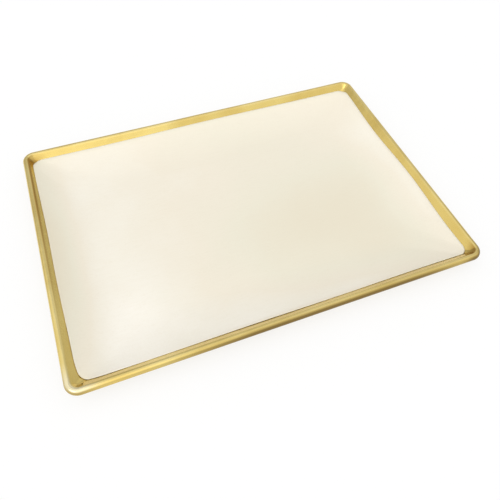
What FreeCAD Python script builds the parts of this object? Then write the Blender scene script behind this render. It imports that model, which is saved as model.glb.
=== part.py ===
"""Wet palette: a shallow pressed tray with a wired rim, a flat sponge that holds the water, and a membrane
sheet that lies on the sponge and turns up against the tray's sides.

The origin is the middle of the tray's underside, +X runs along its long side and +Z is up. Millimetres.
"""

import FreeCAD, Part
import Sketcher
import os

doc = FreeCAD.newDocument("wet_palette")


# Driving dimensions

sheet = doc.addObject("Spreadsheet::Sheet", "Dimensions")

DRIVING_DIMENSIONS = (
    ("tray_length", 309.5, "over the rim bead, long side"),
    ("tray_width", 223.5, "over the rim bead, short side"),
    ("tray_height", 18.0, "underside to the top of the bead"),
    ("tray_metal", 0.6, "thickness of the pressed steel"),
    ("rim_corner", 9.5, "corner radius over the bead, seen from above"),
    ("floor_corner", 20.0, "corner radius of the flat floor"),
    ("flange_angle", 47.0, "slope of the flange below the bead, degrees"),
    ("flange_reach", 7.0, "outside of the bead to the foot of the flange"),
    ("wire_diameter", 4.2, "wire that the rim is rolled round"),
    ("wire_gap", 0.6, "gap between the butted ends of the wire"),
    ("curl_clearance", 0.05, "wire to the inside of the rolled rim"),
    ("curl_end", 336.0, "where the roll ends, degrees round the wire"),
    ("sponge_thickness", 5.0, "sponge slab, damp"),
    ("sponge_length", 229.0, "sponge slab, long side"),
    ("sponge_width", 143.0, "sponge slab, short side"),
    ("sponge_corner", 18.0, "corner radius of the sponge"),
    ("paper_length", 297.0, "membrane sheet as cut, long side"),
    ("paper_width", 210.0, "membrane sheet as cut, short side"),
    ("paper_thickness", 0.3, "membrane sheet, damp"),
    ("paper_bend", 90.0, "radius in which the sheet's margin turns up"),
    ("paper_rise", 26.0, "slope of the sheet at its edge, degrees"),
    ("paper_corner", 7.0, "corner radius of the sheet's edge"),
    ("paper_crease", 24.0, "corner radius where the sheet starts to rise"),
)

for row, (alias, number, note) in enumerate(DRIVING_DIMENSIONS, start=1):
    sheet.set(f"A{row}", note)
    sheet.set(f"B{row}", str(number))
    sheet.setAlias(f"B{row}", alias)
doc.recompute()


def dim(alias):
    """A driving dimension, as it is written in an expression."""
    return "Dimensions." + alias


def value(expression):
    """The number that an expression over the driving dimensions gives now."""
    return float(sheet.evalExpression(expression))


# Drawing helpers

PLANE_ROLES = {"plan": "XY_Plane", "end": "YZ_Plane"}


def new_sketch(body, name, view, height="0"):
    """An empty sketch of a body, seen in plan at a height, or in the section across the tray's middle."""
    sketch = body.newObject("Sketcher::SketchObject", name)
    role = PLANE_ROLES[view]
    plane = next(f for f in body.Origin.OriginFeatures if f.Role == role)
    sketch.AttachmentSupport = [(plane, "")]
    sketch.MapMode = "FlatFace"
    sketch.setExpression("AttachmentOffset.Base.z", height)
    return sketch


def fix_size(sketch, constraint, name, expression):
    """Adds a driving constraint and binds it to an expression over the sheet."""
    index = sketch.addConstraint(constraint)
    sketch.renameConstraint(index, name)
    sketch.setExpression("Constraints." + name, expression)


def rounded_rectangle(body, name, length, width, radius, height="0", gap=None):
    """A rectangle with round corners, centred on the origin. With a gap its front side is cut in two there,
    so that a wire can start and end in the middle of that side."""
    sketch = new_sketch(body, name, "plan", height)
    x, y, r = value(length) / 2, value(width) / 2, value(radius)
    half_gap = value(gap) / 2 if gap else 0.0
    point = FreeCAD.Vector
    centres = [(x - r, -y + r), (x - r, y - r), (-x + r, y - r), (-x + r, -y + r)]
    starts = [(0, -y), (x, -y + r), (x - r, y), (-x, y - r), (-x + r, -y)]
    ends = [(x - r, -y), (x, y - r), (-x + r, y), (-x, -y + r), (0, -y)]
    starts[0], ends[4] = (half_gap, -y), (-half_gap, -y)

    sides = []
    for start, end in zip(starts, ends):
        edge = Part.LineSegment(point(*start, 0), point(*end, 0))
        sides.append(sketch.addGeometry(edge))
    corners = []
    for turn, centre in enumerate(centres):
        circle = Part.Circle(point(*centre, 0), point(0, 0, 1), r)
        first = FreeCAD.Units.Quantity(f"{90 * turn - 90} deg").getValueAs("rad").Value
        last = FreeCAD.Units.Quantity(f"{90 * turn} deg").getValueAs("rad").Value
        corners.append(sketch.addGeometry(Part.ArcOfCircle(circle, first, last)))

    for turn, corner in enumerate(corners):
        sketch.addConstraint(Sketcher.Constraint("Tangent", sides[turn], 2, corner, 1))
        sketch.addConstraint(Sketcher.Constraint("Tangent", corner, 2, sides[turn + 1], 1))
    for side, along in zip(sides[:4], ("Horizontal", "Vertical", "Horizontal", "Vertical")):
        sketch.addConstraint(Sketcher.Constraint(along, side))
    for corner in corners[1:]:
        sketch.addConstraint(Sketcher.Constraint("Equal", corners[0], corner))
    sketch.addConstraint(Sketcher.Constraint("Symmetric", corners[0], 3, corners[2], 3, -1, 1))
    if gap:
        sketch.addConstraint(Sketcher.Constraint("Symmetric", sides[0], 1, sides[4], 2, -2))
        opening = Sketcher.Constraint("DistanceX", sides[4], 2, sides[0], 1, 2 * half_gap)
        fix_size(sketch, opening, "gap", gap)
    else:
        sketch.addConstraint(Sketcher.Constraint("Coincident", sides[4], 2, sides[0], 1))
        sketch.addConstraint(Sketcher.Constraint("PointOnObject", sides[0], 1, -2))
    fix_size(sketch, Sketcher.Constraint("Radius", corners[0], r), "corner", radius)
    across = Sketcher.Constraint("DistanceX", sides[3], 1, sides[1], 1, 2 * x)
    fix_size(sketch, across, "length", length)
    deep = Sketcher.Constraint("DistanceY", sides[0], 2, sides[2], 1, 2 * y)
    fix_size(sketch, deep, "width", width)
    return sketch


def skin(body, kind, name, sections):
    """A loft through plan sections, from the lowest to the highest, that adds or removes metal or paper.
    It is ruled: a bend is a row of narrow flat bands, which keeps the long sides plane and the part light."""
    loft = body.newObject("PartDesign::" + kind, name)
    loft.Ruled = True
    loft.Profile = sections[0]
    loft.Sections = sections[1:]
    doc.recompute()
    return loft


def rise(radius, angle):
    """Height gained on an arc that leaves the horizontal and has turned by an angle."""
    return f"({radius}) * (1 - cos({angle}))"


def run(radius, angle):
    """Distance covered on that arc, seen from above."""
    return f"({radius}) * sin({angle})"


def blend(start, end, share):
    """A size part of the way from one size to another."""
    return f"({start}) + (({end}) - ({start})) * {share:g}"


def shares(bands):
    """Even steps round a bend that is divided into bands, from its start (0) to its end (1)."""
    return [step / bands for step in range(bands + 1)]


# Tray pan: pressed from one sheet of steel. A flat floor turns up in a wide arc to a sloping flange,
# and the flange is rolled outwards round the rim wire into a bead.

bead_radius = f"({dim('wire_diameter')} / 2 + {dim('curl_clearance')} + {dim('tray_metal')})"
bead_height = f"({dim('tray_height')} - {bead_radius})"
slope = dim("flange_angle")
metal = dim("tray_metal")

# The flange leaves the bead where its slope touches the bead's circle.
flange_top_setback = f"({bead_radius} * (1 + sin({slope})))"
flange_top_height = f"({bead_height} + {bead_radius} * cos({slope}))"
foot_height = (
    f"({flange_top_height} - ({dim('flange_reach')} - {flange_top_setback}) * tan({slope}))"
)

# The bend's radius follows from the drop between the foot of the flange and the floor.
pan_bend = f"(({foot_height} - {metal}) / (1 - cos({slope})))"
floor_setback = f"({dim('flange_reach')} + {run(pan_bend, slope)})"
outer_bend = f"({pan_bend} + {metal})"
# The underside reaches the foot of the flange a little before the full slope.
outer_slope = f"asin(({floor_setback} - {dim('flange_reach')}) / {outer_bend})"
foot_corner = f"({dim('rim_corner')} - {dim('flange_reach')})"
foot_length = f"({dim('tray_length')} - 2 * {dim('flange_reach')})"
foot_width = f"({dim('tray_width')} - 2 * {dim('flange_reach')})"
PAN_BANDS = 5


def pan_sections(body, name, bend, end_angle, floor_level):
    """Plan sections of one face of the pressing, from the floor up to the foot of the flange."""
    sections = []
    for number, share in enumerate(shares(PAN_BANDS)):
        angle = f"({end_angle}) * {share:g}"
        setback = f"({floor_setback} - {run(bend, angle)})"
        sections.append(
            rounded_rectangle(
                body,
                f"{name}_{number}",
                f"{dim('tray_length')} - 2 * {setback}",
                f"{dim('tray_width')} - 2 * {setback}",
                blend(dim("floor_corner"), foot_corner, share),
                f"{floor_level} + {rise(bend, angle)}",
            )
        )
    return sections


def rim_profile(body):
    """The rolled rim in section at the front of the tray: the flange, and the roll that it ends in."""
    sketch = new_sketch(body, "rim_profile", "end")
    point = FreeCAD.Vector
    front = -value(dim("tray_width")) / 2
    outer_r, inner_r = value(bead_radius), value(bead_radius) - value(metal)
    middle = point(front + outer_r, value(bead_height), 0)
    foot_y, foot_z = front + value(dim("flange_reach")), value(foot_height)
    under_z = value(rise(outer_bend, outer_slope))

    def on_circle(r, degrees):
        turn = FreeCAD.Rotation(point(0, 0, 1), degrees)
        return middle + turn.multVec(point(r, 0, 0))

    start, end = 90 - value(slope), value(dim("curl_end"))
    halfway = (start + end) / 2

    def roll(r):
        return Part.Arc(on_circle(r, start), on_circle(r, halfway), on_circle(r, end))

    outer = sketch.addGeometry(roll(outer_r))
    inner = sketch.addGeometry(roll(inner_r))
    top_face = sketch.addGeometry(Part.LineSegment(on_circle(outer_r, start), point(foot_y, foot_z, 0)))
    foot = sketch.addGeometry(Part.LineSegment(point(foot_y, foot_z, 0), point(foot_y, under_z, 0)))
    under = sketch.addGeometry(Part.LineSegment(point(foot_y, under_z, 0), on_circle(inner_r, start)))
    lip = sketch.addGeometry(Part.LineSegment(on_circle(outer_r, end), on_circle(inner_r, end)))

    sketch.addConstraint(Sketcher.Constraint("Coincident", outer, 3, inner, 3))
    sketch.addConstraint(Sketcher.Constraint("Tangent", outer, 1, top_face, 1))
    sketch.addConstraint(Sketcher.Constraint("Coincident", top_face, 2, foot, 1))
    sketch.addConstraint(Sketcher.Constraint("Vertical", foot))
    sketch.addConstraint(Sketcher.Constraint("Coincident", foot, 2, under, 1))
    sketch.addConstraint(Sketcher.Constraint("Tangent", under, 2, inner, 1))
    sketch.addConstraint(Sketcher.Constraint("Coincident", inner, 2, lip, 2))
    sketch.addConstraint(Sketcher.Constraint("Perpendicular", outer, 2, lip, 1))
    fix_size(sketch, Sketcher.Constraint("Radius", outer, outer_r), "outside", bead_radius)
    fix_size(sketch, Sketcher.Constraint("Radius", inner, inner_r), "inside", f"{bead_radius} - {metal}")
    centre_y = Sketcher.Constraint("DistanceX", outer, 3, -1, 1, -middle.x)
    fix_size(sketch, centre_y, "bead_in", f"{dim('tray_width')} / 2 - {bead_radius}")
    centre_z = Sketcher.Constraint("DistanceY", -1, 1, outer, 3, middle.y)
    fix_size(sketch, centre_z, "bead_up", bead_height)
    reach = Sketcher.Constraint("DistanceX", foot, 1, -1, 1, -foot_y)
    fix_size(sketch, reach, "foot_in", f"{dim('tray_width')} / 2 - {dim('flange_reach')}")
    upper = Sketcher.Constraint("DistanceY", -1, 1, foot, 1, foot_z)
    fix_size(sketch, upper, "foot_up", foot_height)
    lower = Sketcher.Constraint("DistanceY", -1, 1, foot, 2, under_z)
    fix_size(sketch, lower, "foot_under", rise(outer_bend, outer_slope))
    lip_turn = FreeCAD.Units.Quantity(f"{end - 180} deg").getValueAs("rad").Value
    roll_end = Sketcher.Constraint("Angle", lip, lip_turn)
    fix_size(sketch, roll_end, "roll_end", f"({dim('curl_end')} - 180) * 1 deg")
    return sketch


def make_tray_pan():
    body = doc.addObject("PartDesign::Body", "tray_pan")
    outside = pan_sections(body, "outside", outer_bend, outer_slope, "0")
    skin(body, "AdditiveLoft", "pressing_outside", outside)

    band = body.newObject("PartDesign::Pad", "foot_band")
    band.Profile = rounded_rectangle(
        body, "foot_outline", foot_length, foot_width, foot_corner, rise(outer_bend, outer_slope)
    )
    band.setExpression("Length", f"{foot_height} - {rise(outer_bend, outer_slope)}")
    doc.recompute()

    inside = pan_sections(body, "inside", pan_bend, slope, metal)
    skin(body, "SubtractiveLoft", "pressing_inside", inside)

    rim = body.newObject("PartDesign::AdditivePipe", "rolled_rim")
    rim.Profile = rim_profile(body)
    rim.Spine = rounded_rectangle(
        body,
        "rim_path",
        f"{dim('tray_length')} - 2 * {bead_radius}",
        f"{dim('tray_width')} - 2 * {bead_radius}",
        f"{dim('rim_corner')} - {bead_radius}",
        bead_height,
    )
    doc.recompute()
    return body


# Rim wire: one length of round steel wire, bent to the rim's outline and butted at the middle of the front.


def make_rim_wire():
    body = doc.addObject("PartDesign::Body", "rim_wire")
    section = new_sketch(body, "wire_section", "end", f"{dim('wire_gap')} / 2")
    radius = value(dim("wire_diameter")) / 2
    front = -value(dim("tray_width")) / 2 + value(bead_radius)
    circle = section.addGeometry(
        Part.Circle(FreeCAD.Vector(front, 0, 0), FreeCAD.Vector(0, 0, 1), radius)
    )
    section.addConstraint(Sketcher.Constraint("PointOnObject", circle, 3, -1))
    fix_size(section, Sketcher.Constraint("Radius", circle, radius), "wire", f"{dim('wire_diameter')} / 2")
    place = Sketcher.Constraint("DistanceX", circle, 3, -1, 1, -front)
    fix_size(section, place, "wire_in", f"{dim('tray_width')} / 2 - {bead_radius}")

    ring = body.newObject("PartDesign::AdditivePipe", "bent_wire")
    ring.Profile = section
    ring.Spine = rounded_rectangle(
        body,
        "wire_path",
        f"{dim('tray_length')} - 2 * {bead_radius}",
        f"{dim('tray_width')} - 2 * {bead_radius}",
        f"{dim('rim_corner')} - {bead_radius}",
        gap=dim("wire_gap"),
    )
    body.setExpression("Placement.Base.z", bead_height)
    doc.recompute()
    return body


# Reservoir sponge: a flat slab of cellulose sponge with round corners, cut to lie on the tray's floor.


def make_reservoir_sponge():
    body = doc.addObject("PartDesign::Body", "reservoir_sponge")
    slab = body.newObject("PartDesign::Pad", "slab")
    slab.Profile = rounded_rectangle(
        body, "slab_outline", dim("sponge_length"), dim("sponge_width"), dim("sponge_corner")
    )
    slab.setExpression("Length", dim("sponge_thickness"))
    body.setExpression("Placement.Base.z", metal)
    doc.recompute()
    return body


# Membrane sheet: a cut sheet of greaseproof membrane paper. Its middle lies flat on the sponge, and its
# margins turn up in a wide arc until they lean on the tray's flange.

paper_in = f"({dim('paper_bend')} * ({dim('paper_rise')} * pi / 180 - sin({dim('paper_rise')})))"
margin_run = run(dim("paper_bend"), dim("paper_rise"))
paper = dim("paper_thickness")
PAPER_BANDS = 4


def paper_sections(body, name, bend, end_angle, level):
    """Plan sections of one face of the sheet, from its flat middle to its edge. The margins' arc shortens
    the sheet's plan by the difference between an arc and its run."""
    sections = []
    for number, share in enumerate(shares(PAPER_BANDS)):
        angle = f"({end_angle}) * {share:g}"
        setback = f"({paper_in} + {margin_run} - {run(bend, angle)})"
        sections.append(
            rounded_rectangle(
                body,
                f"{name}_{number}",
                f"{dim('paper_length')} - 2 * {setback}",
                f"{dim('paper_width')} - 2 * {setback}",
                blend(dim("paper_crease"), dim("paper_corner"), share),
                f"{level} + {rise(bend, angle)}",
            )
        )
    return sections


def make_membrane_sheet():
    body = doc.addObject("PartDesign::Body", "membrane_sheet")
    below = paper_sections(body, "below", dim("paper_bend"), dim("paper_rise"), "0")
    skin(body, "AdditiveLoft", "underside", below)

    # The upper face bends on the same centres, so its arc is smaller and ends at a slightly larger slope.
    upper_bend = f"({dim('paper_bend')} - {paper})"
    upper_rise = f"asin({margin_run} / {upper_bend})"
    edge_length = f"{dim('paper_length')} - 2 * {paper_in}"
    edge_width = f"{dim('paper_width')} - 2 * {paper_in}"
    edge_level = rise(dim("paper_bend"), dim("paper_rise"))
    edge = body.newObject("PartDesign::Pad", "cut_edge")
    edge.Profile = rounded_rectangle(
        body, "edge_outline", edge_length, edge_width, dim("paper_corner"), edge_level
    )
    edge.setExpression("Length", f"{paper} + {rise(upper_bend, upper_rise)} - {edge_level}")
    doc.recompute()

    above = paper_sections(body, "above", upper_bend, upper_rise, paper)
    skin(body, "SubtractiveLoft", "upper_side", above)
    body.setExpression("Placement.Base.z", f"{metal} + {dim('sponge_thickness')}")
    doc.recompute()
    return body


# Build, check and write

PIECES = (make_tray_pan, make_rim_wire, make_reservoir_sponge, make_membrane_sheet)
bodies = [make() for make in PIECES]
doc.recompute()

for item in doc.Objects:
    if {"Invalid", "Error"} & set(item.State):
        raise RuntimeError(f"{item.Label} failed: {item.State}")
for body in bodies:
    if body.Shape.isNull() or not body.Shape.isValid() or len(body.Shape.Solids) != 1:
        raise RuntimeError(f"{body.Label} is not one valid solid")

os.makedirs("parts", exist_ok=True)
for body in bodies:
    body.Shape.exportStep(f"parts/{body.Label}.step")
    box = body.Shape.BoundBox
    print(
        f"{body.Label}: {box.XLength:.2f} x {box.YLength:.2f} x {box.ZLength:.2f} mm,"
        f" z {box.ZMin:.2f} to {box.ZMax:.2f}, {body.Shape.Volume:.0f} mm3"
    )
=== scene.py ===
import bmesh
import bpy
import numpy as np
from mathutils import Matrix, Vector


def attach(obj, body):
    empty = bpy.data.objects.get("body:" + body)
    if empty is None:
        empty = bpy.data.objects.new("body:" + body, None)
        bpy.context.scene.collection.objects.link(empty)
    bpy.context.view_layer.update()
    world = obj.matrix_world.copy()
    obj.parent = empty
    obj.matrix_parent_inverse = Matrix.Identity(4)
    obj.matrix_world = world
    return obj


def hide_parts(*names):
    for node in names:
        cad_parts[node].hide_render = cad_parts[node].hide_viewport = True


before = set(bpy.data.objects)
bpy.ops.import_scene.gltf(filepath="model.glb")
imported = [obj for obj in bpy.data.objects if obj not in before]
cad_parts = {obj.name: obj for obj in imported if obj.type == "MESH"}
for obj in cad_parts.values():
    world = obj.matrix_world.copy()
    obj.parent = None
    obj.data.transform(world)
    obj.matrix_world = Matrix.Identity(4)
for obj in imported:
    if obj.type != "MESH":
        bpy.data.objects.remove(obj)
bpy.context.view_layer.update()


# Tray pan: one sheet of thin steel pressed into a shallow dish and lacquered gold. A flat floor turns up
# in a wide bend, leans back as a narrow flange, and is rolled outwards over a wire into a round bead.

MM = 0.001
TRAY_LENGTH, TRAY_WIDTH, TRAY_HEIGHT = 309.5, 223.5, 18.0
METAL = 0.6
RIM_CORNER, FLOOR_CORNER = 9.5, 20.0
BEAD_RADIUS = 2.75
FLANGE_ANGLE = np.radians(47.0)
FLANGE_REACH = 7.0
CURL_END = np.radians(336.0)
LACQUER_DEEP, LACQUER_BRIGHT = (0.70, 0.51, 0.14), (0.82, 0.64, 0.21)
# Lacquer colours: a paler one for the rubbed crown, which is also a painted highlight, a pale painted highlight for
# the near left corner, and two painted shades.
RUBBED, WORN = (0.92, 0.77, 0.36), (0.95, 0.86, 0.58)
STAINED, TARNISHED = (0.38, 0.20, 0.022), (0.20, 0.125, 0.03)

bead_level = TRAY_HEIGHT - BEAD_RADIUS
flange_top_inset = BEAD_RADIUS * (1 + np.sin(FLANGE_ANGLE))
flange_top_level = bead_level + BEAD_RADIUS * np.cos(FLANGE_ANGLE)
foot_level = flange_top_level - (FLANGE_REACH - flange_top_inset) * np.tan(FLANGE_ANGLE)
pan_bend = (foot_level - METAL) / (1 - np.cos(FLANGE_ANGLE))
floor_inset = FLANGE_REACH + pan_bend * np.sin(FLANGE_ANGLE)


def rise(value, start, end):
    """0 up to the start, 1 from the end on, and a straight line between them."""
    return np.clip((value - start) / (end - start), 0.0, 1.0)


def rounded_outlines(half_length, half_width, radius, corner_points, side_points):
    """Rings of points round rectangles with round corners, one ring for each entry of the sizes. Each corner is
    a quarter circle about a centre one radius in from both sides, and the sides are even steps between corners."""
    quarter = np.linspace(0.0, np.pi / 2, corner_points)
    step = np.arange(1, side_points + 1) / (side_points + 1)
    arcs = []
    for turn, (sx, sy) in enumerate(((1, 1), (-1, 1), (-1, -1), (1, -1))):
        angle = quarter + turn * np.pi / 2
        x = sx * (half_length - radius)[:, None] + radius[:, None] * np.cos(angle)
        y = sy * (half_width - radius)[:, None] + radius[:, None] * np.sin(angle)
        arcs.append(np.stack([x, y], axis=-1))
    ring = []
    for turn in range(4):
        start, end = arcs[turn][:, -1:], arcs[(turn + 1) % 4][:, :1]
        ring += [arcs[turn], start + (end - start) * step[None, :, None]]
    return np.concatenate(ring, axis=1)


def ring_mesh(name, rings, cap_ends=False, **marks):
    """A piece from rings of points (ring, point, xyz) in millimetres: each ring is joined to the next by quads,
    and the end rings may be capped flat. A mark is one number for each point, kept for the piece's finish."""
    count, around = rings.shape[:2]
    grid = np.arange(count * around).reshape(count, around)
    lower, upper = grid[:-1], grid[1:]
    quads = np.stack([lower, np.roll(lower, -1, 1), np.roll(upper, -1, 1), upper], axis=-1).reshape(-1, 4)
    faces = quads.tolist()
    if cap_ends:
        faces += [grid[0, ::-1].tolist(), grid[-1].tolist()]
    mesh = bpy.data.meshes.new(name)
    mesh.from_pydata((rings.reshape(-1, 3) * MM).tolist(), [], faces)
    for mark, values in marks.items():
        layer = mesh.attributes.new(mark, "FLOAT", "POINT")
        layer.data.foreach_set("value", np.broadcast_to(values, (count, around)).ravel().astype(np.float32))
    work = bmesh.new()
    work.from_mesh(mesh)
    bmesh.ops.remove_doubles(work, verts=work.verts, dist=1e-6)
    bmesh.ops.recalc_face_normals(work, faces=work.faces)
    work.to_mesh(mesh)
    work.free()
    mesh.polygons.foreach_set("use_smooth", np.ones(len(mesh.polygons), bool))
    mesh.update()
    piece = bpy.data.objects.new(name, mesh)
    bpy.context.scene.collection.objects.link(piece)
    return piece


def bend_arc(radius, level):
    """The wide bend of one face, as inset from the outside of the rim, height and corner radius: an arc from the
    floor up to the foot of the flange, along which the floor's corner tightens to the rim's."""
    end = np.arcsin((floor_inset - FLANGE_REACH) / radius)
    share = np.linspace(0.0, 1.0, 24)
    inset = floor_inset - radius * np.sin(share * end)
    height = level + radius * (1 - np.cos(share * end))
    corner = FLOOR_CORNER + (RIM_CORNER - FLANGE_REACH - FLOOR_CORNER) * share ** 0.8
    return np.stack([inset, height, corner], axis=-1)


def roll_arc(radius):
    """The roll of one face round the wire, from the top of the flange over the outside to the lip."""
    angle = np.linspace(np.pi / 2 - FLANGE_ANGLE, CURL_END, 40)
    inset, height = BEAD_RADIUS + radius * np.cos(angle), bead_level + radius * np.sin(angle)
    return np.stack([inset, height, RIM_CORNER - inset], axis=-1)


def flange_run(start, end):
    """Six even steps of the flange's straight slope, between its ends."""
    share = np.linspace(0.0, 1.0, 8)[1:-1, None]
    return start + (end - start) * share


upper_bend, outer_roll = bend_arc(pan_bend, METAL), roll_arc(BEAD_RADIUS)
inner_roll, lower_bend = roll_arc(BEAD_RADIUS - METAL)[::-1], bend_arc(pan_bend + METAL, 0.0)[::-1]
# The cut lip is a blunt ridge halfway between the ends of the two faces and a little beyond them.
lip = 0.5 * (outer_roll[-1] + inner_roll[0]) + np.array([0.15, 0.12, -0.15])
pan_section = np.concatenate([
    upper_bend, flange_run(upper_bend[-1], outer_roll[0]), outer_roll,
    lip[None], inner_roll, flange_run(inner_roll[-1], lower_bend[0]), lower_bend,
])
inset, height, corner = pan_section.T
plan = rounded_outlines(TRAY_LENGTH / 2 - inset, TRAY_WIDTH / 2 - inset, corner, 14, 44)
# A hand-fed roll is never dead level: the rim's outside dips by up to a tenth of a millimetre along the sides.
x, y = plan[..., 0], plan[..., 1]
dip = 0.03 * (2.0 + np.sin(x / 23.0 + 0.7) * np.sin(y / 29.0 + 0.4) + np.sin(x / 11.0 - y / 13.0))
outside = np.arange(len(height)) < len(height) // 2
level = height[:, None] - dip * (outside * rise(height, 0.0, TRAY_HEIGHT) ** 3)[:, None]
pan_rings = np.concatenate([plan, level[..., None]], axis=-1)
# Handling has rubbed the crown of the bead, and the paler crown is also a painted highlight; the near left corner
# of the crown is a pale painted highlight. The bead's outside is darkened with painted shade along the near side
# and at its corners, and that side's upper faces with a little painted shade. The inside is darkened with painted
# shade at two opposite corners and in the hollow beside the bead along the left side, most at its far end.
# Angles from the top of the bead are in degrees, positive outwards.
from_top = np.degrees(np.arctan2(BEAD_RADIUS - inset, height - bead_level))
on_roll = inset < flange_top_inset + 0.1
crown = on_roll * (1 - rise(np.abs(from_top + 10.0), 0.0, 40.0))
turned_under = on_roll * rise(from_top, -5.0, 55.0)
worn_crown = on_roll * (1 - rise(np.abs(from_top - 5.0), 20.0, 60.0))
hollow = outside * (1 - rise(np.abs(from_top + 45.0), 0.0, 40.0))
inside = outside * rise(-from_top, 15.0, 35.0)
held = rise(-y, 80.0, 105.0) * rise(x, -130.0, -20.0) * (1 - 0.6 * rise(x, 90.0, 135.0))
far_left = rise(-x, 138.0, 146.0) * rise(y, -75.0, 60.0) * (1 - rise(y, 103.0, 111.0))
near_left, near_right = rise(-x - y, 238.0, 256.0), rise(x - y, 244.0, 254.0)
far_corner = rise(y - x, 238.0, 248.0) * (1 - rise(y, 103.0, 109.0))
aged_side = rise(-y, 98.0, 104.0) * rise(x, -100.0, 0.0)
# Painted highlight: the crown is made pale at the near left corner.
worn = worn_crown[:, None] * near_left
# Painted shade: the bead's outside below the crown is darkened like a dark reflection, most along the near side and
# at the near corners.
tarnish = turned_under[:, None] * np.maximum.reduce([0.06 + 0.94 * held, near_right, 0.45 * near_left])
# Painted shade: the inside corners, the left hollow and the near side's upper faces are darkened.
stain = np.maximum.reduce([
    hollow[:, None] * far_left, 0.22 * outside[:, None] * aged_side,
    0.8 * inside[:, None] * np.maximum(near_right, far_corner),
])
tray_pan = ring_mesh(
    "tray_pan_pressing", pan_rings, cap_ends=True,
    crown=crown[:, None], worn=worn, tarnish=tarnish, stain=stain,
)
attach(tray_pan, "tray")
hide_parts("tray_pan")


def mottle_group():
    """Two layers of soft noise on the piece's own coordinates: broad patches and a fine grain, each from 0 to 1."""
    group = bpy.data.node_groups.new("mottle_and_grain", "ShaderNodeTree")
    for name in ("Patch Scale", "Grain Scale"):
        group.interface.new_socket(name=name, in_out="INPUT", socket_type="NodeSocketFloat")
    for name in ("Patch", "Grain"):
        group.interface.new_socket(name=name, in_out="OUTPUT", socket_type="NodeSocketFloat")
    nodes, links = group.nodes, group.links
    given, result = nodes.new("NodeGroupInput"), nodes.new("NodeGroupOutput")
    place = nodes.new("ShaderNodeTexCoord")
    for name, detail in (("Patch", 3.0), ("Grain", 4.0)):
        noise = nodes.new("ShaderNodeTexNoise")
        noise.inputs["Detail"].default_value = detail
        links.new(place.outputs["Object"], noise.inputs["Vector"])
        links.new(given.outputs[name + " Scale"], noise.inputs["Scale"])
        spread = nodes.new("ShaderNodeMapRange")
        spread.inputs["From Min"].default_value = 0.3
        spread.inputs["From Max"].default_value = 0.7
        links.new(noise.outputs["Fac"], spread.inputs["Value"])
        links.new(spread.outputs["Result"], result.inputs[name])
    return group


mottle = mottle_group()


class Finish:
    """A material with one Principled shader, and short ways to wire its nodes."""

    def __init__(self, name):
        self.material = bpy.data.materials.new(name)
        self.material.use_nodes = True
        self.nodes, self.links = self.material.node_tree.nodes, self.material.node_tree.links
        self.shader = self.nodes["Principled BSDF"]

    def set(self, **values):
        for name, value in values.items():
            self.shader.inputs[name.replace("_", " ").title()].default_value = value

    def wire(self, output, socket):
        self.links.new(output, self.shader.inputs[socket])

    def mottle(self, patch, grain):
        node = self.nodes.new("ShaderNodeGroup")
        node.node_tree = mottle
        node.inputs["Patch Scale"].default_value = patch
        node.inputs["Grain Scale"].default_value = grain
        return node.outputs["Patch"], node.outputs["Grain"]

    def mark(self, name):
        node = self.nodes.new("ShaderNodeAttribute")
        node.attribute_name = name
        return node.outputs["Fac"]

    def ramp(self, value, *stops):
        node = self.nodes.new("ShaderNodeValToRGB")
        ramp = node.color_ramp
        while len(ramp.elements) < len(stops):
            ramp.elements.new(0.5)
        for element, (place, colour) in zip(ramp.elements, stops):
            element.position, element.color = place, (*colour, 1.0)
        self.links.new(value, node.inputs["Fac"])
        return node.outputs["Color"]

    def span(self, value, low, high, start=0.0, end=1.0):
        node = self.nodes.new("ShaderNodeMapRange")
        node.interpolation_type = "SMOOTHSTEP"
        node.inputs["From Min"].default_value, node.inputs["From Max"].default_value = start, end
        node.inputs["To Min"].default_value, node.inputs["To Max"].default_value = low, high
        self.links.new(value, node.inputs["Value"])
        return node.outputs["Result"]

    def math(self, operation, first, second):
        node = self.nodes.new("ShaderNodeMath")
        node.operation = operation
        self.links.new(first, node.inputs[0])
        self.links.new(second, node.inputs[1])
        return node.outputs["Value"]

    def mix(self, share, first, second):
        node = self.nodes.new("ShaderNodeMix")
        node.data_type = "RGBA"
        self.links.new(share, node.inputs["Factor"])
        for socket, colour in zip(node.inputs[6:8], (first, second)):
            if isinstance(colour, tuple):
                socket.default_value = (*colour, 1.0)
            else:
                self.links.new(colour, socket)
        return node.outputs[2]

    def bump(self, height, strength, distance, below=None):
        node = self.nodes.new("ShaderNodeBump")
        node.inputs["Strength"].default_value, node.inputs["Distance"].default_value = strength, distance
        self.links.new(height, node.inputs["Height"])
        if below is not None:
            self.links.new(below, node.inputs["Normal"])
        return node.outputs["Normal"]


gold = Finish("gold_lacquer")
gold.set(metallic=0.95, coat_weight=0.25, coat_roughness=0.10)
patch, grain = gold.mottle(26.0, 1500.0)
lacquer = gold.ramp(patch, (0.0, LACQUER_DEEP), (1.0, LACQUER_BRIGHT))
# The paler crown is partly rubbed lacquer and partly a painted highlight.
rubbing = gold.math("MULTIPLY", gold.mark("crown"), gold.span(patch, 0.25, 0.75))
rubbed = gold.mix(rubbing, lacquer, RUBBED)
# Painted highlight: a pale colour at the near left corner of the crown.
worn_through = gold.mix(gold.span(gold.mark("worn"), 0.0, 0.85), rubbed, WORN)
# Painted shade in the inside corners, the left hollow and along the near side.
stained = gold.mix(gold.span(gold.mark("stain"), 0.0, 0.95), worn_through, STAINED)
# Painted shade: the darkened underside of the bead.
gold.wire(gold.mix(gold.span(gold.mark("tarnish"), 0.0, 0.95), stained, TARNISHED), "Base Color")
gold.wire(gold.span(grain, 0.14, 0.22), "Roughness")
gold.wire(gold.bump(grain, 0.02, 0.0002, gold.bump(patch, 0.18, 0.0015)), "Normal")
tray_pan.data.materials.append(gold.material)


# Rim wire: a length of drawn steel wire inside the rolled bead, bent to the rim's outline and butted at the
# middle of the near side. The bead covers it all round.

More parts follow.
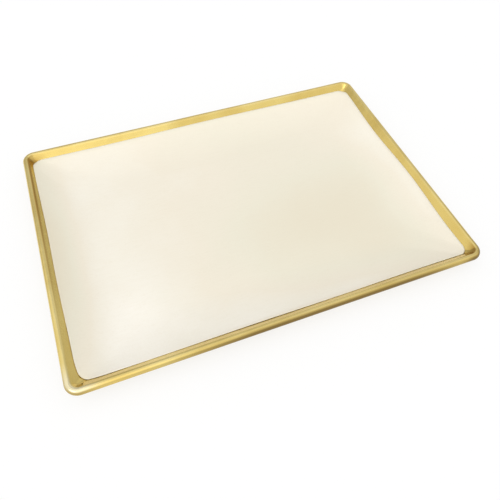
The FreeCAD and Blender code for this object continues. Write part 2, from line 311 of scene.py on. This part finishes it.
WIRE_DULL, WIRE_BRIGHT = (0.40, 0.40, 0.41), (0.58, 0.58, 0.58)

wire_steel = Finish("wire_steel")
wire_steel.set(metallic=1.0)
patch, grain = wire_steel.mottle(60.0, 3000.0)
wire_steel.wire(wire_steel.ramp(patch, (0.0, WIRE_DULL), (1.0, WIRE_BRIGHT)), "Base Color")
wire_steel.wire(wire_steel.span(grain, 0.3, 0.5), "Roughness")
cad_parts["rim_wire"].data.materials.clear()
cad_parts["rim_wire"].data.materials.append(wire_steel.material)


# Reservoir sponge: a flat slab of cellulose sponge, cut with round corners to lie on the tray's floor.
# Damp, it is soft at its edges and full of pores of different sizes.

SPONGE_LENGTH, SPONGE_WIDTH, SPONGE_THICKNESS = 229.0, 143.0, 5.0
SPONGE_CORNER, SPONGE_EDGE = 18.0, 1.2
PORES, PORE_DEPTH = 1100, 2.0
SPONGE_DAMP, SPONGE_DRY, PORE_SHADE = (0.76, 0.63, 0.34), (0.87, 0.76, 0.48), (0.42, 0.31, 0.13)


def sponge_section():
    """Inset from the slab's side and height above its seat, from the middle of its underside round a soft edge
    to the middle of its top: straight runs joined by quarter circles, the top in steps fine enough for pores."""
    quarter = np.linspace(0.0, np.pi / 2, 6)
    under = np.linspace(SPONGE_WIDTH / 2, SPONGE_EDGE, 8, endpoint=False)
    top = np.linspace(SPONGE_WIDTH / 2, SPONGE_EDGE, 66, endpoint=False)[::-1]
    turn = SPONGE_EDGE * (1 - np.stack([np.sin(quarter), np.cos(quarter)], axis=-1))
    over = turn[::-1] * (1, -1) + (0, SPONGE_THICKNESS)
    under = np.stack([under, np.zeros_like(under)], axis=-1)
    top = np.stack([top, np.full_like(top, SPONGE_THICKNESS)], axis=-1)
    return np.concatenate([under, turn, over, top])


def pitted(x, y):
    """Depth of the open pores over the slab's top. Each is a round pit whose floor curves up to its rim as the
    square of one less the squared distance from its middle, and the deepest counts where pits meet."""
    draw = np.random.default_rng(11)
    radius = np.exp(draw.normal(np.log(1.5), 0.42, PORES)).clip(0.8, 4.0)
    centre_x = draw.uniform(-0.5, 0.5, PORES) * SPONGE_LENGTH
    centre_y = draw.uniform(-0.5, 0.5, PORES) * SPONGE_WIDTH
    depth = np.zeros_like(x)
    for middle_x, middle_y, size in zip(centre_x, centre_y, radius):
        away = ((x - middle_x) ** 2 + (y - middle_y) ** 2) / size ** 2
        depth = np.maximum(depth, PORE_DEPTH * min(size / 2.0, 1.0) * np.clip(1 - away, 0.0, 1.0) ** 2)
    return depth


inset, height = sponge_section().T
shrink = 1 - inset / (SPONGE_WIDTH / 2)
plan = rounded_outlines(SPONGE_LENGTH / 2 - inset, SPONGE_WIDTH / 2 - inset, SPONGE_CORNER * shrink, 12, 170)
on_top = (height == SPONGE_THICKNESS) * rise(inset, SPONGE_EDGE, SPONGE_EDGE + 2.0)
pit = pitted(plan[..., 0], plan[..., 1]) * on_top[:, None]
level = height[:, None] + METAL - pit
sponge = ring_mesh(
    "reservoir_sponge_slab", np.concatenate([plan, level[..., None]], axis=-1), hollow=pit / PORE_DEPTH,
)
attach(sponge, "sponge")
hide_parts("reservoir_sponge")


def pores(finish, scale, hole, wall):
    """Round pores at the middles of random cells: 0 inside a hole's radius, 1 from the wall's radius outwards,
    as shares of a cell. A soft noise bends the cells so that no two pores are alike."""
    place = finish.nodes.new("ShaderNodeTexCoord")
    noise = finish.nodes.new("ShaderNodeTexNoise")
    noise.inputs["Scale"].default_value = scale * 0.6
    finish.links.new(place.outputs["Object"], noise.inputs["Vector"])
    bent = finish.nodes.new("ShaderNodeVectorMath")
    bent.operation = "MULTIPLY_ADD"
    bent.inputs[1].default_value = (0.9 / scale,) * 3
    finish.links.new(noise.outputs["Color"], bent.inputs[0])
    finish.links.new(place.outputs["Object"], bent.inputs[2])
    cells = finish.nodes.new("ShaderNodeTexVoronoi")
    cells.inputs["Scale"].default_value = scale
    finish.links.new(bent.outputs["Vector"], cells.inputs["Vector"])
    return finish.span(cells.outputs["Distance"], 0.0, 1.0, hole, wall)


cellulose = Finish("cellulose_sponge")
patch, grain = cellulose.mottle(40.0, 1800.0)
small = cellulose.span(pores(cellulose, 620.0, 0.16, 0.42), 0.45, 1.0)
body = cellulose.math("MULTIPLY", small, cellulose.span(cellulose.mark("hollow"), 1.0, 0.0, 0.05, 0.8))
face = cellulose.ramp(patch, (0.0, SPONGE_DAMP), (1.0, SPONGE_DRY))
cellulose.wire(cellulose.mix(body, PORE_SHADE, face), "Base Color")
cellulose.wire(cellulose.span(patch, 0.62, 0.88), "Roughness")
cellulose.wire(cellulose.bump(grain, 0.25, 0.0004, cellulose.bump(small, 0.8, 0.0008)), "Normal")
sponge.data.materials.append(cellulose.material)


# Membrane sheet: a sheet of greaseproof membrane paper, cut to a standard size with its corners rounded off.
# Its damp middle lies on the sponge, and its dry margins turn up in a wide arc and lean on the tray's flange.

PAPER_LENGTH, PAPER_WIDTH, PAPER_THICKNESS = 297.0, 210.0, 0.3
PAPER_BEND, PAPER_RISE = 90.0, np.radians(26.0)
PAPER_CORNER, PAPER_CREASE = 7.0, 24.0
PAPER_SEAT = METAL + SPONGE_THICKNESS
PAPER_LIFT = 0.06
# Cream for each value of the mark, which is partly the damp tone and partly painted shade and painted light.
CREAM_BY_DAMPNESS = (
    (0.0, (0.985, 0.945, 0.850)), (0.12, (0.930, 0.885, 0.772)), (0.3, (0.895, 0.832, 0.697)),
    (0.6, (0.858, 0.815, 0.670)), (1.0, (0.830, 0.765, 0.607)),
)
FIBRE_FLECK = (0.78, 0.70, 0.54)

margin_run = PAPER_BEND * np.sin(PAPER_RISE)
edge_level = PAPER_SEAT + PAPER_BEND * (1 - np.cos(PAPER_RISE))
edge_half = np.array([PAPER_LENGTH, PAPER_WIDTH]) / 2 - PAPER_BEND * (PAPER_RISE - np.sin(PAPER_RISE))
flat_half = edge_half - margin_run


def paper_face(offset):
    """One face of the sheet, at an offset along its normal. From the edge inwards the slope falls evenly to zero
    round one arc, and the rest is flat and closes on a line in the middle."""
    slope = np.linspace(PAPER_RISE, 0.0, 36)
    out = (PAPER_BEND - offset) * np.sin(slope)
    climb = offset + (PAPER_BEND - offset) * (1 - np.cos(slope))
    crease = PAPER_CREASE + (PAPER_CORNER - PAPER_CREASE) * slope / PAPER_RISE
    inward = np.linspace(0.0, flat_half[1], 26)[1:]
    out = np.concatenate([out, -inward])
    climb = np.concatenate([climb, np.full_like(inward, offset)])
    crease = np.concatenate([crease, PAPER_CREASE * (1 - inward / flat_half[1])])
    plan = rounded_outlines(flat_half[0] + out, flat_half[1] + out, crease, 18, 60)
    level = np.broadcast_to(climb[:, None, None] + PAPER_SEAT, plan.shape[:2] + (1,))
    return np.concatenate([plan, level], axis=-1)


def pan_level(inset):
    """Height of the tray's upper face at an inset from the outside of its rim: a straight slope above the foot of
    the flange, and the circle of the bend below it."""
    bend = METAL + pan_bend - np.sqrt(pan_bend ** 2 - (floor_inset - inset) ** 2)
    flange = foot_level + (FLANGE_REACH - inset) * np.tan(FLANGE_ANGLE)
    return np.where(inset < FLANGE_REACH, flange, bend)


def settle(rings):
    """The sheet as it has slid and slumped. Each margin moves out or in by its own amount along the side, growing
    with the square of the distance from the flat, and its edge comes to the tray's face there; low waves stay.
    Bell curves about the corners let them sink, and draw the near left one in."""
    x, y, z = np.moveaxis(rings, -1, 0)
    along, across = x / edge_half[0], y / edge_half[1]
    far = 0.2 * np.sin(5.0 * along + 1.0) - 0.3 * along ** 8
    near = 0.1 - 0.5 * (1 - along ** 6) + 0.2 * np.sin(7.0 * along)
    right = -0.6 + 0.5 * np.sin(5.5 * across + 2.6)
    left = -0.1 + 0.5 * across - 0.2 * np.sin(6.0 * across)
    slide_x, slide_y = np.where(x > 0, right, left), np.where(y > 0, far, near)
    weight_x = rise(np.abs(x), flat_half[0], edge_half[0]) ** 2
    weight_y = rise(np.abs(y), flat_half[1], edge_half[1]) ** 2
    # Near a corner the sheet leans on one side only, the one whose flange it has climbed further.
    lean_x = pan_level(TRAY_LENGTH / 2 - edge_half[0] - slide_x) + PAPER_LIFT - edge_level
    lean_y = pan_level(TRAY_WIDTH / 2 - edge_half[1] - slide_y) + PAPER_LIFT - edge_level
    side = weight_x ** 6 / (weight_x ** 6 + weight_y ** 6 + 1e-9)
    lean = lean_x * weight_x * side + lean_y * weight_y * (1 - side)
    off_corner = (edge_half[0] - np.abs(x)) ** 2 + (edge_half[1] - np.abs(y)) ** 2
    drop = 1.2 * np.exp(-off_corner / 4.2 ** 2)
    drawn_in = 1.4 * np.exp(-off_corner / 10.0 ** 2) * (x < 0) * (y < 0)
    waves = 0.05 * (2.0 + np.sin(x / 19.0 + y / 31.0) + np.sin(x / 27.0 - y / 17.0 + 2.0))
    return np.stack([
        x + np.sign(x) * (slide_x * weight_x - drawn_in),
        y + np.sign(y) * (slide_y * weight_y - drawn_in),
        z + lean - drop - 0.95 * drawn_in + waves,
    ], axis=-1)


paper_rings = np.concatenate([paper_face(0.0)[::-1], paper_face(PAPER_THICKNESS)])
risen = rise(paper_rings[..., 2], PAPER_SEAT, edge_level)


def spot(centre_x, centre_y, half_x, half_y):
    """A soft patch of the sheet: 1 at its centre, falling as a bell curve whose half sizes are given."""
    away_x, away_y = (paper_rings[..., 0] - centre_x) / half_x, (paper_rings[..., 1] - centre_y) / half_y
    return np.exp(-away_x ** 2 - away_y ** 2)


# The mark is partly the sheet's damp tone and partly painted shade and painted light. The middle over the sponge
# is wettest and darkest. The left and far margins, the near right corner and most of the cut edge are darkened as
# painted shade, and the near side and the left corners are lightened as painted light.
dampness = 0.12 + 0.35 * risen ** 16 * (1 - spot(-100.0, -103.0, 60.0, 20.0))
dampness += 0.88 * spot(65.0, -30.0, 100.0, 75.0) * (1 - risen ** 0.7)
dampness += 0.80 * spot(-144.0, 5.0, 14.0, 90.0) + 0.32 * spot(30.0, 92.0, 130.0, 32.0)
dampness += 0.22 * spot(115.0, -85.0, 50.0, 28.0)
dampness -= 0.05 * spot(0.0, -98.0, 150.0, 24.0)
dampness -= 0.12 * spot(-108.0, -72.0, 42.0, 34.0) + 0.06 * spot(-118.0, 72.0, 40.0, 30.0)
membrane = ring_mesh("membrane_sheet_paper", settle(paper_rings), dampness=dampness)
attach(membrane, "sheet")
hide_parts("membrane_sheet")


def fibres(finish, turn, scale):
    """Fine fibres that lie one way: a noise drawn out ten times along a direction in the sheet."""
    place, mapping = finish.nodes.new("ShaderNodeTexCoord"), finish.nodes.new("ShaderNodeMapping")
    mapping.inputs["Rotation"].default_value = (0.0, 0.0, turn)
    mapping.inputs["Scale"].default_value = (0.1, 1.0, 1.0)
    noise = finish.nodes.new("ShaderNodeTexNoise")
    noise.inputs["Scale"].default_value = scale
    finish.links.new(place.outputs["Object"], mapping.inputs["Vector"])
    finish.links.new(mapping.outputs["Vector"], noise.inputs["Vector"])
    return finish.span(noise.outputs["Fac"], 0.0, 1.0, 0.35, 0.7)


paper = Finish("membrane_paper")
patch, grain = paper.mottle(15.0, 800.0)
laid = paper.math("ADD", fibres(paper, 0.5, 900.0), fibres(paper, -0.7, 1300.0))
# The mark carries the damp tone together with painted shade and painted light.
damp = paper.math("ADD", paper.mark("dampness"), paper.span(patch, -0.06, 0.06))
cream = paper.ramp(damp, *CREAM_BY_DAMPNESS)
flecked = paper.mix(paper.math("MULTIPLY", laid, paper.span(grain, 0.0, 0.10)), cream, FIBRE_FLECK)
paper.wire(flecked, "Base Color")
paper.wire(paper.span(damp, 0.56, 0.40), "Roughness")
paper.wire(paper.bump(laid, 0.06, 0.0002, paper.bump(grain, 0.05, 0.0002)), "Normal")
membrane.data.materials.append(paper.material)


# Studio: a pale floor that runs out to white, a dim room that is light at its near side, with a window overhead
# at the left, a smaller one at the far side and a pale wall at the right, and a soft lamp from the left.

FLOOR_SIZE = 12.0
FLOOR_WHITE = 0.75
ROOM_WHITE_SEEN, ROOM_WHITE_MIRRORED = 1.0, 0.35
ROOM_LEVEL = 0.33
corners = np.array([(-1, -1, 0), (1, -1, 0), (1, 1, 0), (-1, 1, 0)]) * FLOOR_SIZE / 2
floor_mesh = bpy.data.meshes.new("floor")
floor_mesh.from_pydata(corners.tolist(), [], [(0, 1, 2, 3)])
floor = bpy.data.objects.new("floor", floor_mesh)
bpy.context.scene.collection.objects.link(floor)


def white_share(tree, seen, mirrored):
    """How far a surface shows plain white: one share to the camera and through clear things, another in metal.
    The largest share of the ray's kinds counts, and light that falls on the piece has none."""
    path = tree.nodes.new("ShaderNodeLightPath")

    def combine(operation, first, second):
        node = tree.nodes.new("ShaderNodeMath")
        node.operation = operation
        tree.links.new(first, node.inputs[0])
        if isinstance(second, float):
            node.inputs[1].default_value = second
        else:
            tree.links.new(second, node.inputs[1])
        return node.outputs["Value"]

    direct = combine("MAXIMUM", path.outputs["Is Camera Ray"], path.outputs["Is Transmission Ray"])
    in_metal = combine("MULTIPLY", path.outputs["Is Glossy Ray"], mirrored)
    return combine("MAXIMUM", combine("MULTIPLY", direct, seen), in_metal)


floor_white = bpy.data.materials.new("floor_white")
floor_white.use_nodes = True
nodes, links = floor_white.node_tree.nodes, floor_white.node_tree.links
surface = nodes["Principled BSDF"]
surface.inputs["Base Color"].default_value = (1.0, 1.0, 1.0, 1.0)
surface.inputs["Roughness"].default_value = 0.9
surface.inputs["Specular IOR Level"].default_value = 0.0
paper_white = nodes.new("ShaderNodeEmission")
blend = nodes.new("ShaderNodeMixShader")
links.new(white_share(floor_white.node_tree, FLOOR_WHITE, FLOOR_WHITE), blend.inputs["Fac"])
links.new(surface.outputs["BSDF"], blend.inputs[1])
links.new(paper_white.outputs["Emission"], blend.inputs[2])
links.new(blend.outputs["Shader"], nodes["Material Output"].inputs["Surface"])
floor_mesh.materials.append(floor_white)

LIGHT_SIDE = Vector((-0.35, -0.80, 0.45)).normalized()
WINDOW = Vector((-0.35, -0.45, 0.82)).normalized()
PALE_WALL = Vector((0.93, 0.35, 0.10)).normalized()
FAR_WINDOW = Vector((0.46, 0.73, 0.50)).normalized()
world = bpy.data.worlds.new("studio_room")
bpy.context.scene.world = world
world.use_nodes = True
nodes, links = world.node_tree.nodes, world.node_tree.links
room = nodes["Background"]
room.inputs["Color"].default_value = (1.0, 1.0, 1.0, 1.0)
toward, dim_room = nodes.new("ShaderNodeTexCoord"), nodes.new("ShaderNodeValue")
dim_room.outputs["Value"].default_value = ROOM_LEVEL
glow = dim_room.outputs["Value"]
# Each light place of the room has a direction, two cosines between which it fades in, and a strength.
for direction, start, end, strength in (
    (LIGHT_SIDE, -0.18, 0.05, 0.645), (WINDOW, 0.80, 0.95, 0.65),
    (PALE_WALL, 0.945, 1.0, 0.17), (FAR_WINDOW, 0.88, 0.98, 0.30),
):
    facing = nodes.new("ShaderNodeVectorMath")
    facing.operation = "DOT_PRODUCT"
    facing.inputs[1].default_value = direction
    lit = nodes.new("ShaderNodeMapRange")
    lit.interpolation_type = "SMOOTHSTEP"
    lit.inputs["From Min"].default_value, lit.inputs["From Max"].default_value = start, end
    lit.inputs["To Max"].default_value = strength
    brighter = nodes.new("ShaderNodeMath")
    links.new(toward.outputs["Generated"], facing.inputs[0])
    links.new(facing.outputs["Value"], lit.inputs["Value"])
    links.new(glow, brighter.inputs[0])
    links.new(lit.outputs["Result"], brighter.inputs[1])
    glow = brighter.outputs["Value"]
whitened = nodes.new("ShaderNodeMix")
whitened.inputs["B"].default_value = 1.0
links.new(white_share(world.node_tree, ROOM_WHITE_SEEN, ROOM_WHITE_MIRRORED), whitened.inputs["Factor"])
links.new(glow, whitened.inputs["A"])
links.new(whitened.outputs["Result"], room.inputs["Strength"])

KEY_AIM = Vector((0.62, 0.25, -0.74))
key = bpy.data.lights.new("soft_key", "SUN")
key.energy = 0.2
key.angle = np.radians(30.0)
key_lamp = bpy.data.objects.new("soft_key", key)
key_lamp.rotation_euler = KEY_AIM.to_track_quat("-Z", "Y").to_euler()
bpy.context.scene.collection.objects.link(key_lamp)


# Camera: hand-held above the near left of the tray, tipped a little, at the photograph's angle.

AZIMUTH, ELEVATION, ROLL = np.radians((-23.31, 54.5, 2.58))
CAMERA_PLACE = (-0.09520, -0.24605, 0.32098)
SENSOR, LENS = 36.0, 36.27
back = Vector((np.sin(AZIMUTH) * np.cos(ELEVATION), -np.cos(AZIMUTH) * np.cos(ELEVATION), np.sin(ELEVATION)))
right = Vector((np.cos(AZIMUTH), np.sin(AZIMUTH), 0.0))
turned = Matrix((right, back.cross(right), back)).transposed() @ Matrix.Rotation(ROLL, 3, "Z")
view = bpy.data.cameras.new("camera")
view.sensor_fit = "HORIZONTAL"
view.sensor_width = SENSOR
view.lens = LENS
view.clip_start = 0.01
camera = bpy.data.objects.new("camera", view)
camera.matrix_world = Matrix.Translation(CAMERA_PLACE) @ turned.to_4x4()
bpy.context.scene.collection.objects.link(camera)
bpy.context.scene.camera = camera
bpy.context.scene.view_settings.view_transform = "Standard"
